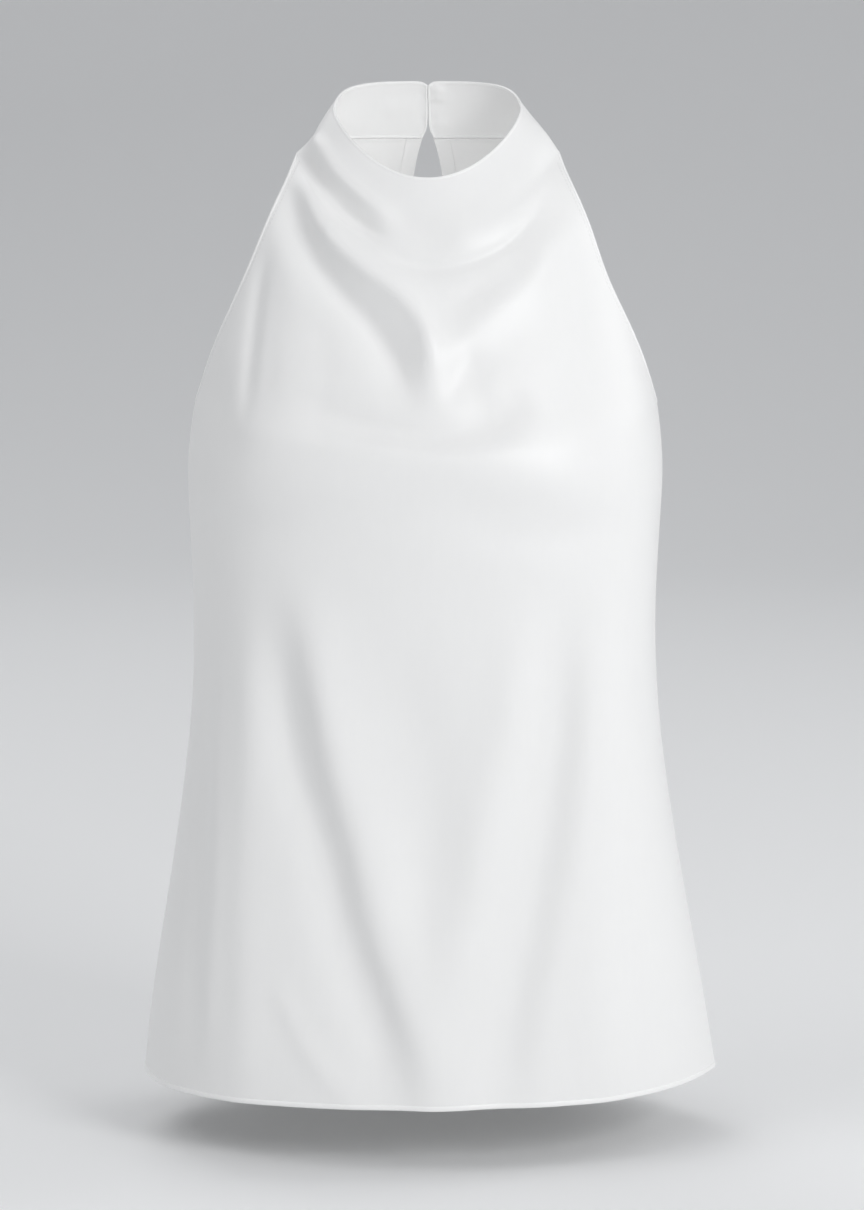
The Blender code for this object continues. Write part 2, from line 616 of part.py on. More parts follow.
def main():
    for thing in list(bpy.data.objects):
        bpy.data.objects.remove(thing, do_unlink=True)
    make_front()
    make_back()
    half = BACK_COLUMNS // 2
    make_collar("collar_left", range(half + 1))
    make_collar("collar_right", range(half, BACK_COLUMNS + 1))
    for name, height, seat in CLOSURES:
        make_button(f"button_{name}", height, seat)
        make_loop(f"loop_{name}", height, seat)


main()
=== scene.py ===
import math
from collections import namedtuple

import bmesh
import bpy
import numpy as np
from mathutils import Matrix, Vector


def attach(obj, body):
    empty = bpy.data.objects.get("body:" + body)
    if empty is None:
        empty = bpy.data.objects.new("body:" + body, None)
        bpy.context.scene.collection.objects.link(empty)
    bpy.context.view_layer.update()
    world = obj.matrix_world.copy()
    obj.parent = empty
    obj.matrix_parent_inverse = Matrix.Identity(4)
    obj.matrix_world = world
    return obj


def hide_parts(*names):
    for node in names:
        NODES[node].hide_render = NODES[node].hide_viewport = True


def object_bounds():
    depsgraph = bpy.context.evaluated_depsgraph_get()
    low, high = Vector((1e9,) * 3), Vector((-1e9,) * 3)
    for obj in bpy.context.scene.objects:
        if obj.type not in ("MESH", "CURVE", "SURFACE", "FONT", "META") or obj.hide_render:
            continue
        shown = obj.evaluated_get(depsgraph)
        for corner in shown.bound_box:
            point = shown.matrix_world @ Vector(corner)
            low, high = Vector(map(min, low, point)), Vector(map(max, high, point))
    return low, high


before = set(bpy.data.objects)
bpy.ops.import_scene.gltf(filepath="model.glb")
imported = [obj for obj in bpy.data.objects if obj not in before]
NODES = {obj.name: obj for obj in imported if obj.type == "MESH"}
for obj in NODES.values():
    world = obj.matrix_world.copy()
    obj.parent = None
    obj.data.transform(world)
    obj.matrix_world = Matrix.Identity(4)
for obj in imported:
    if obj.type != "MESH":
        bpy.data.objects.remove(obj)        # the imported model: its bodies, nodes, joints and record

CAD_BOX = [list(corner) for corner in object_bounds()]

MM = 0.001

# The solids' cloth
WALL = 1.2 * MM
FACING_WALL = 0.8 * MM
RIM_EDGE = 1.15             # a face is on the rim if an edge is shorter than this many walls

# Places that tell the edges of the panels apart
UNDERARM = -0.180           # heights where the side seams end and start again
SHOULDER = -0.0285
HEM = -0.59
ARMHOLE_DROP = 5 * MM       # from the shoulder down to the armhole
KEYHOLE_NEAR = 30 * MM      # the keyhole's edge is this near the centre, and longer than this
KEYHOLE_LONG = 50 * MM
NECK_FRONT = -50 * MM       # the front's neck is before this, and a shoulder seam before the next
SHOULDER_BACK = 10 * MM
END_NEAR = 2 * MM           # an end of the stand is this near the centre
RIM_HEIGHT = 1 * MM         # the rim of the stand rises above this

# Cloth, as shells
SINGLE = 0.8 * MM           # one layer of satin
DOUBLED = 1.2 * MM          # the stand, which is doubled
PRESSED = 0.5 * MM          # the facing, which is pressed flat
FINENESS = 2                # levels of subdivision of a panel
CORNER = math.radians(40)   # an edge that turns by more keeps its corner
SMOOTH_ANGLE = math.radians(50)
QUAD_ANGLE = math.radians(60)
KEYHOLE_SIDE = 15 * MM      # nearer the centre than this, below the stand, the edge is round
FACING_SHIFT = 0.65 * MM    # out to the back's inner face
MERGE = 0.01 * MM
CREASE_ENDS = 0.3           # share of its route over which a crease rises, and sinks again
SEAM_FADE = 9 * MM          # the distance over which creases die out towards a seam
SEAM_ROLL = 0.35 * MM       # how far an edge rolls in where it is sewn

# Turned edges, as (width across, thickness)
ROLLED_EDGE = (1.9 * MM, 1.5 * MM)
HEM_BAND = (3.2 * MM, 1.7 * MM)
STAND_FOLD = (1.5 * MM, 1.6 * MM)
STAND_END = (1.5 * MM, 2.1 * MM)
ROUND = 12                  # points round the section of an edge
SQUARENESS = 0.6            # 1 would be an oval section, 0 a square one
EDGE_STEP = 2.2 * MM
HEM_STITCH = 2.5 * MM       # from an edge to its row of stitches
EDGE_STITCH = 4.0 * MM
STITCH_LENGTH = 1.9 * MM
STITCH_PITCH = 2.7 * MM
STITCH_RADIUS = 0.17 * MM
STITCH_FLATNESS = 0.8

# Camera, at the photograph's angle and distance
CAMERA_LIFT = math.radians(7)
CAMERA_DISTANCE = 2.6
CAMERA_TARGET = Vector((0.0025, 0.0, -0.307))
PHOTO_SIZE = (864, 1210)
MM_PER_PIXEL = 0.62         # at the target
SENSOR = 36.0

FLOOR_DROP = 0.035          # from the hem down to the floor
FLOOR_SIZE = 40.0
FLOOR_BACK = 6.0            # from the top back to where the floor sweeps up
BACKDROP_HEIGHT = 14.0
SWEEP = 3.0
SWEEP_STEPS = 24
FLOOR_PAINT = (0.86, 0.865, 0.87, 1.0)
FLOOR_ROUGHNESS = 0.8

# Light. The sky is brighter above. Each lamp is its name, place, size and power, and all are
# aimed at the middle of the top. The inner light is its place, radius and power, and stands for
# what comes through the thin cloth.
SKY_TINT = (0.97, 0.98, 1.0, 1.0)
SKY, SKY_UP = 0.45, 0.08
MIDDLE = Vector((0, 0, -0.25))
LAMPS = (
    ("key", (1.50, -1.93, 0.64), 1.0, 24.5),
    ("side", (2.21, 0.81, 0.85), 1.4, 10.0),
    ("left top", (-1.45, -0.84, 1.74), 1.4, 9.0),
    ("back", (-0.9, 2.3, 2.2), 2.0, 20.0),
)
INNER_LIGHT = ((-0.02, 0.0, -0.11), 0.03, 0.08)

# Colours of the cloth and thread, and how rough the satin is
WHITE, SATIN_ROUGHNESS = (0.91, 0.91, 0.905), 0.42
# The turned edges are painted a lighter white than the cloth: a painted highlight on their rims.
TURNED_HIGHLIGHT_WHITE, TURNED_ROUGHNESS = (0.95, 0.95, 0.945), 0.36
THREAD_WHITE = (0.86, 0.86, 0.855)
SATIN_SHADE, THREAD_SHADE = 0.965, 0.9      # the darkest of each, as a share of its colour
FLOATS = (1.0, 1.0, 0.22)   # the satin's pattern is drawn out along the length
SLUB_ROUGHNESS = 0.06

# Fine creases as (height, reach, route), millimetres, over the folds that the solids already
# have. A route is (x, z) as seen from the front. Height above 0 is a ridge, below 0 a trough.
FRONT_CREASES = (
    # The rolls of the neck: sharper crests, and the hollows beside them
    (1.4, 4.5, ((-82, -7), (-65, -24), (-53, -39), (-39, -52), (-27, -62), (-17, -73))),
    (-1.4, 4, ((-86, -17), (-72, -37), (-60, -56), (-47, -67), (-36, -73), (-24, -83))),
    (2.2, 5.5, ((-86, -22), (-74, -48), (-60, -74), (-39, -93), (-18, -108), (-4, -124),
              (1, -140), (1, -156), (-2, -182))),
    (-1.8, 6, ((-90, -34), (-80, -63), (-67, -93), (-52, -112), (-38, -126), (-27, -141),
               (-17, -159), (-8, -186))),
    (-1.8, 3.2, ((-34, -73), (-20, -88), (-4, -94.5), (20, -93), (45, -83), (64, -65), (74, -46))),
    (-0.8, 9, ((-22, -60), (-5, -74), (7, -78), (22, -74))),
    (-0.8, 8, ((6, -124), (25, -114), (40, -105), (55, -95), (68, -84))),
    (-0.7, 6, ((10, -178), (17, -160), (24, -148), (32, -138))),
    (-0.4, 8, ((22, -172), (38, -179), (50, -176), (60, -160))),
    # The swag under them, and soft upright folds beside the armholes
    (-1.7, 7, ((-70, -175), (-46, -185), (-25, -189), (0, -193), (25, -191), (46, -186),
               (68, -172))),
    (-1.0, 4, ((-97, -76), (-102, -110), (-105, -137), (-108, -167), (-111, -195))),
    (1.2, 5, ((-89, -76), (-94, -110), (-97, -137), (-100, -167), (-103, -190))),
    (-1.0, 6, ((-66, -180), (-46, -187), (-22, -191), (4, -194), (24, -192))),
    (-1.0, 9, ((14, -249), (42, -253), (75, -252), (108, -246))),
    (-0.6, 8, ((82, -66), (86, -109), (88, -138), (90, -184))),
    (-0.8, 8, ((-66, -118), (-62, -143), (-61, -172))),
    (-0.8, 8, ((-66, -162), (-64, -181), (-68, -198))),
    # Long folds, down to the hem
    (1.7, 10, ((-74, -270), (-71, -317), (-65, -353), (-57, -395), (-43, -443), (-33, -485),
              (-16, -533), (-5, -569), (2, -640))),
    (-2.0, 13, ((-90, -285), (-84, -317), (-78, -353), (-70, -395), (-56, -443), (-47, -485),
               (-30, -533), (-18, -569), (-8, -620))),
    (1.5, 12, ((98, -280), (94, -366), (90, -409), (83, -459), (75, -502), (67, -552),
               (62, -620))),
    (-1.7, 12, ((86, -280), (82, -366), (78, -409), (71, -459), (63, -502), (54, -552),
               (49, -620))),
    (-0.5, 9, ((-113, -275), (-114, -330), (-118, -400), (-121, -470), (-122, -540),
               (-127, -640))),
    (1.4, 6, ((-124, -300), (-126, -380), (-128, -450), (-131, -520), (-134, -610))),
    (-1.8, 6, ((-134, -300), (-137, -380), (-139, -450), (-142, -520), (-146, -610))),
    (1.5, 7, ((-97, -510), (-85, -535), (-71, -563), (-52, -586), (-30, -602))),
    (0.8, 8, ((122, -300), (124, -392), (127, -467), (133, -530), (142, -640))),
)
BACK_CREASES = (
    # Pulls from the closures and the shoulders
    (-1.2, 4, ((-72, -28), (-58, -44), (-42, -52), (-24, -54))),
    (1.0, 4, ((-66, -24), (-50, -38), (-32, -46))),
    (-1.2, 4, ((72, -28), (58, -46), (42, -56), (26, -60))),
    (-1.6, 6, ((-84, -50), (-72, -86), (-54, -128), (-36, -160))),
    (1.4, 6, ((-76, -50), (-64, -84), (-48, -122), (-30, -150))),
    (-1.6, 6, ((84, -52), (73, -90), (56, -130), (38, -166))),
    (1.4, 6, ((76, -54), (65, -88), (50, -124), (33, -154))),
    (-1.0, 5, ((-12, -122), (-9, -146), (-12, -178))),
    (-1.0, 5, ((11, -120), (10, -140), (14, -172))),
    # The hollow of the waist, with the creases that run across it
    (-1.8, 7, ((-104, -250), (-70, -262), (-34, -266), (0, -262))),
    (1.4, 6, ((-96, -264), (-62, -276), (-28, -280), (8, -275))),
    (-1.6, 7, ((110, -256), (74, -270), (40, -276), (6, -272))),
    (1.2, 6, ((100, -272), (68, -286), (34, -290))),
    # Long folds under it
    (2.2, 8, ((-84, -250), (-76, -330), (-62, -420), (-48, -510), (-42, -640))),
    (-2.6, 8, ((-104, -260), (-98, -350), (-88, -440), (-80, -530), (-78, -640))),
    (1.6, 7, ((-128, -290), (-124, -400), (-118, -500), (-120, -640))),
    (-2.0, 9, ((-26, -310), (-16, -400), (-9, -500), (-10, -640))),
    (1.8, 8, ((14, -300), (14, -390), (18, -480), (22, -640))),
    (-1.6, 7, ((48, -290), (46, -380), (54, -470), (62, -560), (66, -640))),
    (-2.6, 8, ((80, -260), (76, -350), (82, -440), (92, -540), (96, -640))),
    (2.0, 8, ((104, -240), (100, -330), (106, -430), (116, -530), (120, -640))),
)
# On the stand above 0 is outward, so the camera sees it as a hollow. Dimples stand where the
# buttons and loops are sewn, the cloth is puffed up beside them, and the left end is lifted.
RIGHT_STAND_CREASES = (
    (0.7, 2.5, ((0.5, 7.8), (2.5, 7.6), (6, 7.4))),
    (0.7, 2.5, ((0.5, -8.4), (2.5, -8.5), (6, -8.8))),
    (-2.0, 5, ((4, 2), (5, 8), (7, 14))),
    (-0.8, 4, ((3, -12.5), (8, -12), (13, -11))),
)
LEFT_STAND_CREASES = (
    (-0.4, 2.2, ((-0.4, 16), (-0.4, 8), (-0.4, 0), (-0.4, -8), (-0.4, -16))),
    (0.6, 2.5, ((-0.5, 7.6), (-3, 7.4), (-7, 7.6))),
    (0.6, 2.5, ((-0.5, -8.6), (-3, -8.8), (-7, -9))),
    (-0.8, 6, ((-5, 0), (-16, -1), (-30, -4))),
)


def select_only(*things):
    """Leaves just these objects selected, the first one active."""
    bpy.ops.object.select_all(action="DESELECT")
    for thing in things:
        thing.select_set(True)
    bpy.context.view_layer.objects.active = things[0]


def apply(thing, kind, **settings):
    """Adds a modifier with these settings, and applies it."""
    select_only(thing)
    bpy.ops.object.modifier_add(type=kind)
    modifier = thing.modifiers[-1]
    for name, value in settings.items():
        setattr(modifier, name, value)
    bpy.ops.object.modifier_apply(modifier=modifier.name)


def smooth_shade(thing):
    select_only(thing)
    bpy.ops.object.shade_smooth_by_angle(angle=SMOOTH_ANGLE)


def own_copy(node, name):
    """A copy of a frame node, with its own merged mesh, that belongs to no body yet."""
    thing = NODES[node].copy()
    thing.data = thing.data.copy()
    thing.name = thing.data.name = name
    thing.parent = None
    for key in list(thing.keys()):
        del thing[key]
    thing.data.materials.clear()
    bpy.context.scene.collection.objects.link(thing)
    select_only(thing)
    bpy.ops.object.mode_set(mode="EDIT")
    bpy.ops.mesh.select_all(action="SELECT")
    bpy.ops.mesh.remove_doubles(threshold=MERGE)
    bpy.ops.object.mode_set(mode="OBJECT")
    return thing


def islands(faces):
    """Groups of faces that join along their edges."""
    left, groups = set(faces), []
    while left:
        stack, group = [left.pop()], []
        while stack:
            face = stack.pop()
            group.append(face)
            near = {f for edge in face.edges for f in edge.link_faces} & left
            left -= near
            stack.extend(near)
        groups.append(group)
    return groups


def outwardness(faces):
    """Above 0 for faces that look away from the middle of the top."""
    return sum(f.calc_area() * f.normal.dot(f.calc_center_median() * Vector((1, 1, 0)))
               for f in faces)


def is_corner(vert):
    """Whether the free edge of a sheet turns a corner at this vertex."""
    rim = [e for e in vert.link_edges if e.is_boundary]
    if len(rim) != 2 or abs(vert.co.x) < KEYHOLE_SIDE and vert.co.z < SHOULDER:
        return False
    a, b = (e.other_vert(vert).co - vert.co for e in rim)
    return math.pi - a.angle(b) > CORNER


def outer_sheet(node, name, wall):
    """The outer face of a panel's wall, as one sheet of quads with its corners kept."""
    thing = own_copy(node, name)
    bpy.ops.object.mode_set(mode="EDIT")
    mesh = bmesh.from_edit_mesh(thing.data)
    rim = [f for f in mesh.faces if min(e.calc_length() for e in f.edges) < RIM_EDGE * wall]
    bmesh.ops.delete(mesh, geom=rim, context="FACES")
    outer = max(islands(mesh.faces), key=outwardness)
    bmesh.ops.delete(mesh, geom=list(set(mesh.faces) - set(outer)), context="FACES")
    bmesh.update_edit_mesh(thing.data)
    bpy.ops.mesh.select_all(action="SELECT")
    bpy.ops.mesh.tris_convert_to_quads(face_threshold=QUAD_ANGLE, shape_threshold=QUAD_ANGLE,
                                       topology_influence=1.0)
    bpy.ops.mesh.select_all(action="DESELECT")
    mesh = bmesh.from_edit_mesh(thing.data)
    for vert in mesh.verts:
        vert.select_set(is_corner(vert))
    bmesh.update_edit_mesh(thing.data)
    bpy.ops.transform.vert_crease(value=1.0)
    bpy.ops.object.mode_set(mode="OBJECT")
    return thing


def points_of(thing):
    """The places of a mesh's vertices, as an array."""
    flat = np.empty(3 * len(thing.data.vertices))
    thing.data.vertices.foreach_get("co", flat)
    return flat.reshape(-1, 3)


def normals_of(thing):
    flat = np.empty(3 * len(thing.data.vertices))
    thing.data.vertices.foreach_get("normal", flat)
    return flat.reshape(-1, 3)


def move_points(thing, places):
    thing.data.vertices.foreach_set("co", places.ravel())
    thing.data.update()


def smooth_route(points, steps=8):
    """A route with more points, on a smooth curve through the given ones."""
    knots = np.array((points[0], *points, points[-1]), float)
    t = np.linspace(0, 1, steps, endpoint=False)[:, None]
    route = []
    for p, q, r, s in zip(knots, knots[1:], knots[2:], knots[3:]):
        route.append(0.5 * (2 * q + (r - p) * t + (2 * p - 5 * q + 4 * r - s) * t ** 2
                            + (3 * q - p - 3 * r + s) * t ** 3))
    return np.vstack((*route, knots[-1:]))


def ease(share):
    """0 up to 1, level at both ends."""
    share = np.clip(share, 0.0, 1.0)
    return share * share * (3 - 2 * share)


def crease_height(places, crease):
    """How far one crease moves each place of the front projection, in metres."""
    height, reach, route = crease
    route = smooth_route(route) * MM
    spans = np.diff(route, axis=0)
    lengths = np.linalg.norm(spans, axis=1)
    starts = np.concatenate(([0.0], np.cumsum(lengths)))
    nearest = np.full(len(places), np.inf)
    along = np.zeros(len(places))
    for start, span, length, run in zip(route, spans, lengths, starts):
        share = np.clip((places - start) @ span / length ** 2, 0, 1)
        gap = np.linalg.norm(places - start - share[:, None] * span, axis=1)
        closer = gap < nearest
        nearest = np.where(closer, gap, nearest)
        along = np.where(closer, run + share * length, along)
    along /= starts[-1]
    fade = ease(along / CREASE_ENDS) * ease((1 - along) / CREASE_ENDS)
    return height * MM * fade * np.exp(-(nearest / (reach * MM)) ** 2)


Edge = namedtuple("Edge", "points normals inward")


def joined(*edges):
    """Stretches of edge in one run, each turned round where that brings its ends together."""
    run = edges[0]
    for edge in edges[1:]:
        ends = [np.linalg.norm(run.points[a] - edge.points[b]) for a in (0, -1) for b in (0, -1)]
        nearest = int(np.argmin(ends))
        if nearest in (0, 1):
            run = Edge(*(part[::-1] for part in run))
        if nearest in (1, 3):
            edge = Edge(*(part[::-1] for part in edge))
        run = Edge(*(np.vstack((a, b)) for a, b in zip(run, edge)))
    return run


def edge_runs(thing):
    """The free edge of a sheet, as an Edge for each side of its grid."""
    mesh = bmesh.new()
    mesh.from_mesh(thing.data)
    corners = {v.index for v in mesh.verts if is_corner(v)}
    near, inward = {}, {}
    for edge in mesh.edges:
        if edge.is_boundary:
            a, b = (v.index for v in edge.verts)
            near.setdefault(a, []).append(b)
            near.setdefault(b, []).append(a)
    for vert in mesh.verts:
        if vert.is_boundary:
            middle = sum((f.calc_center_median() for f in vert.link_faces), Vector())
            inward[vert.index] = middle / len(vert.link_faces) - vert.co
    mesh.free()
    places, normals = points_of(thing), normals_of(thing)
    runs, used = [], set()
    for corner in sorted(corners):
        for step in near[corner]:
            if (corner, step) in used:
                continue
            chain = [corner, step]
            while chain[-1] not in corners:
                chain.append(next(v for v in near[chain[-1]] if v != chain[-2]))
            used |= {(chain[0], chain[1]), (chain[-1], chain[-2])}
            runs.append(Edge(places[chain], normals[chain], np.array([inward[v] for v in chain])))
    return runs


def run_name(run):
    """What a run of a panel's edge is: a free edge, or a seam with the next panel."""
    x, y, z = run.points[len(run.points) // 2]
    side = "left" if run.points[:, 0].mean() < 0 else "right"
    if z < HEM:
        return "hem"
    if z < UNDERARM:
        return f"side seam {side}"
    if abs(x) < KEYHOLE_NEAR and np.ptp(run.points[:, 2]) > KEYHOLE_LONG:
        return "keyhole"
    if z < SHOULDER - ARMHOLE_DROP and y > NECK_FRONT:
        return f"armhole {side}"
    if y < NECK_FRONT:
        return "neck"
    if abs(x) < END_NEAR:
        return f"end {side}"
    if y < SHOULDER_BACK:
        return f"shoulder seam {side}"
    return f"rim {side}" if run.points[:, 2].max() > RIM_HEIGHT else f"stand seam {side}"


def unit(vectors):
    return vectors / np.linalg.norm(vectors, axis=1)[:, None]


def even(edge, spacing, closed=False):
    """The edge with places at equal distances."""
    if closed:
        edge = Edge(*(np.vstack((part, part[:1])) for part in edge))
    run = np.append(0.0, np.cumsum(np.linalg.norm(np.diff(edge.points, axis=0), axis=1)))
    count = max(int(round(run[-1] / spacing)), 2)
    at = np.linspace(0, run[-1], count + 1)[:count if closed else count + 1]
    return Edge(*(np.stack([np.interp(at, run, part[:, k]) for k in range(3)], axis=1)
                  for part in edge))


def frames(edge, closed=False):
    """Unit vectors along the edge, into the cloth and out of it at each place."""
    if closed:
        along = np.roll(edge.points, -1, axis=0) - np.roll(edge.points, 1, axis=0)
    else:
        along = np.gradient(edge.points, axis=0)
    along = unit(along)
    out = edge.normals - along * np.sum(edge.normals * along, axis=1)[:, None]
    out = unit(out)
    across = np.cross(out, along)
    across *= np.sign(np.sum(across * edge.inward, axis=1))[:, None]
    return along, across, out


def new_mesh(name, verts, faces):
    mesh = bpy.data.meshes.new(name)
    mesh.from_pydata([tuple(v) for v in verts], [], faces)
    thing = bpy.data.objects.new(name, mesh)
    bpy.context.scene.collection.objects.link(thing)
    select_only(thing)
    bpy.ops.object.mode_set(mode="EDIT")
    bpy.ops.mesh.select_all(action="SELECT")
    bpy.ops.mesh.normals_make_consistent(inside=False)
    bpy.ops.object.mode_set(mode="OBJECT")
    return thing


def turned_edge(name, edge, size, closed=False, layer=SINGLE):
    """Cloth turned over along an edge: a rounded band round the edge of a shell."""
    edge = even(edge, EDGE_STEP, closed)
    across, out = frames(edge, closed)[1:]
    width, thick = size
    rings = []
    for step in range(ROUND):
        angle = 2 * math.pi * step / ROUND
        u = math.copysign(abs(math.cos(angle)) ** SQUARENESS, math.cos(angle)) * width / 2
        v = math.copysign(abs(math.sin(angle)) ** SQUARENESS, math.sin(angle)) * thick / 2
        rings.append(edge.points + (width / 2 + u) * across + (v - layer / 2) * out)
    verts = np.stack(rings, axis=1).reshape(-1, 3)
    count = len(edge.points)
    faces = []
    for i in range(count if closed else count - 1):
        j = (i + 1) % count
        for k in range(ROUND):
            n = (k + 1) % ROUND
            faces.append((i * ROUND + k, i * ROUND + n, j * ROUND + n, j * ROUND + k))
    if not closed:
        faces.append(tuple(range(ROUND)))
        faces.append(tuple(range((count - 1) * ROUND, count * ROUND)))
    thing = new_mesh(name, verts, faces)
    smooth_shade(thing)
    return thing


def stitch_shape():
    """One stitch: a sunken bead of thread, as its points and its faces in a fixed order."""
    bpy.ops.mesh.primitive_uv_sphere_add(segments=6, ring_count=5, radius=1.0)
    bead = bpy.context.object
    points = points_of(bead)
    faces = sorted(tuple(p.vertices) for p in bead.data.polygons)
    bpy.data.objects.remove(bead, do_unlink=True)
    return points, faces


def stitched(name, edge, inset):
    """A row of stitches at a distance from a closed edge."""
    edge = even(edge, STITCH_PITCH, closed=True)
    along, across, out = frames(edge, closed=True)
    shape, pattern = STITCH
    size = np.array((STITCH_RADIUS, STITCH_RADIUS * STITCH_FLATNESS, STITCH_LENGTH / 2))
    verts, faces = [], []
    for place, a, b, c in zip(edge.points, along, across, out):
        start = len(verts) * len(shape)
        local = shape * size
        verts.append(place + inset * b + local[:, :1] * b + local[:, 1:2] * c
                     + local[:, 2:] * a)
        faces += [tuple(start + k for k in face) for face in pattern]
    thing = new_mesh(name, np.vstack(verts), faces)
    smooth_shade(thing)
    return thing


class Socket:
    """A value in a material's nodes. Reckoning with it adds the Math nodes."""

    def __init__(self, finish, link):
        self.finish, self.link = finish, link

    def reckon(self, operation, *values):
        return self.finish.node("ShaderNodeMath", {"operation": operation}, values)[0]

    def __add__(self, other):
        return self.reckon("ADD", self, other)

    def __mul__(self, other):
        return self.reckon("MULTIPLY", self, other)

    __radd__, __rmul__ = __add__, __mul__


class Nodes:
    """The nodes of a material or of the world."""

    def __init__(self, owner, shader):
        owner.use_nodes = True
        self.tree = owner.node_tree
        self.shader = self.tree.nodes[shader]

    def node(self, kind, settings=None, values=()):
        """Adds a node with its settings first, then its inputs by place or by name."""
        made = self.tree.nodes.new(kind)
        for name, value in (settings or {}).items():
            setattr(made, name, value)
        pairs = values.items() if isinstance(values, dict) else enumerate(values)
        for place, value in pairs:
            self.feed(made.inputs[place], value)
        return [Socket(self, output) for output in made.outputs]

    def feed(self, socket, value):
        if isinstance(value, Socket):
            self.tree.links.new(value.link, socket)
        else:
            socket.default_value = value

    def shade(self, **values):
        """Sets the shader's own sockets. An underscore in a name stands for a space."""
        for name, value in values.items():
            self.feed(self.shader.inputs[name.replace("_", " ")], value)


class Finish(Nodes):
    """A material."""

    def __init__(self, name):
        self.material = bpy.data.materials.new(name)
        super().__init__(self.material, "Principled BSDF")

    def shade(self, **values):
        super().shade(**values)
        return self.material


def satin_finish(name, colour, roughness):
    """Smooth satin: long floats of thread along the length, and faint unevenness of the weave."""
    finish = Finish(name)
    place = finish.node("ShaderNodeTexCoord")[3]
    stretched = finish.node("ShaderNodeMapping", None,
                            {"Vector": place, "Scale": FLOATS})[0]
    slub = finish.node("ShaderNodeTexNoise", None,
                       {"Vector": stretched, "Scale": 260.0, "Detail": 3.0, "Roughness": 0.6})[0]
    cloud = finish.node("ShaderNodeTexNoise", None,
                        {"Vector": place, "Scale": 14.0, "Detail": 2.0, "Roughness": 0.5})[0]
    thread = finish.node("ShaderNodeTexWave",
                         {"wave_type": "BANDS", "bands_direction": "DIAGONAL"},
                         {"Vector": place, "Scale": 900.0, "Distortion": 1.2, "Detail": 1.0})[1]
    shade = slub * 0.5 + cloud * 0.5
    tone = finish.node("ShaderNodeMix", {"data_type": "RGBA"},
                       {0: shade, 6: (*(c * SATIN_SHADE for c in colour), 1.0),
                        7: (*colour, 1.0)})[2]
    weave = slub * 0.7 + thread * 0.3
    fine = finish.node("ShaderNodeBump", None,
                       {"Strength": 0.18, "Distance": 0.00006, "Height": weave})[0]
    ripple = finish.node("ShaderNodeBump", None,
                         {"Strength": 0.35, "Distance": 0.0012, "Height": cloud,
                          "Normal": fine})[0]
    rough = slub * SLUB_ROUGHNESS + (roughness - SLUB_ROUGHNESS / 2)
    return finish.shade(Base_Color=tone, Roughness=rough, Normal=ripple, Sheen_Weight=0.12,
                        Sheen_Roughness=0.35)


def thread_finish(name, colour):
    """Twisted sewing thread."""
    finish = Finish(name)
    place = finish.node("ShaderNodeTexCoord")[3]
    ply = finish.node("ShaderNodeTexWave", {"bands_direction": "DIAGONAL"},
                      {"Vector": place, "Scale": 1400.0, "Distortion": 0.5})[1]
    tone = finish.node("ShaderNodeMix", {"data_type": "RGBA"},
                       {0: ply, 6: (*(c * THREAD_SHADE for c in colour), 1.0),
                        7: (*colour, 1.0)})[2]
    bump = finish.node("ShaderNodeBump", None,
                       {"Strength": 0.4, "Distance": 0.0001, "Height": ply})[0]
    return finish.shade(Base_Color=tone, Roughness=ply * 0.1 + 0.4, Normal=bump, Sheen_Weight=0.1)


def belong(thing, slot, material, *replaced):
    """Gives a piece its finish and its body, and hides the parts of the frame that it replaces."""
    thing.data.materials.clear()
    thing.data.materials.append(material)
    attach(thing, "root")
    if replaced:
        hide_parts(*replaced)


def crease_sheet(thing, creases, seams):
    """Presses the fine creases into a panel. They die out towards its seams."""
    if not creases:
        return
    places, normals = points_of(thing), normals_of(thing)
    height = sum(crease_height(places[:, (0, 2)], crease) for crease in creases)
    gap = np.full(len(places), np.inf)
    for place in seams:
        gap = np.minimum(gap, np.linalg.norm(places - place, axis=1))
    move_points(thing, places + normals * (height * ease(gap / SEAM_FADE))[:, None])


def roll_in(thing, seams):
    """Rolls an edge in a little where it is sewn, so that the seam shows as a fine valley."""
    places, normals = points_of(thing), normals_of(thing)
    for place in seams:
        near = int(np.argmin(np.linalg.norm(places - place, axis=1)))
        places[near] -= SEAM_ROLL * normals[near]
        normals[near] = 0.0
    move_points(thing, places)


def make_panel(node, creases, thickness, wall=WALL, shift=0.0):
    """A panel of satin on its solid's form, as a thin shell, and the runs of its edge."""
    sheet = outer_sheet(node, f"satin_{node}", wall)
    apply(sheet, "SUBSURF", levels=FINENESS, render_levels=FINENESS,
          boundary_smooth="PRESERVE_CORNERS")
    move_points(sheet, points_of(sheet) + shift * normals_of(sheet))
    seams = np.vstack([run.points for run in edge_runs(sheet) if "seam" in run_name(run)])
    crease_sheet(sheet, creases, seams)
    roll_in(sheet, seams)
    runs = {run_name(run): run for run in edge_runs(sheet)}
    apply(sheet, "SOLIDIFY", thickness=thickness, offset=-1.0)
    smooth_shade(sheet)
    belong(sheet, "satin", SATIN, node)
    return sheet, runs


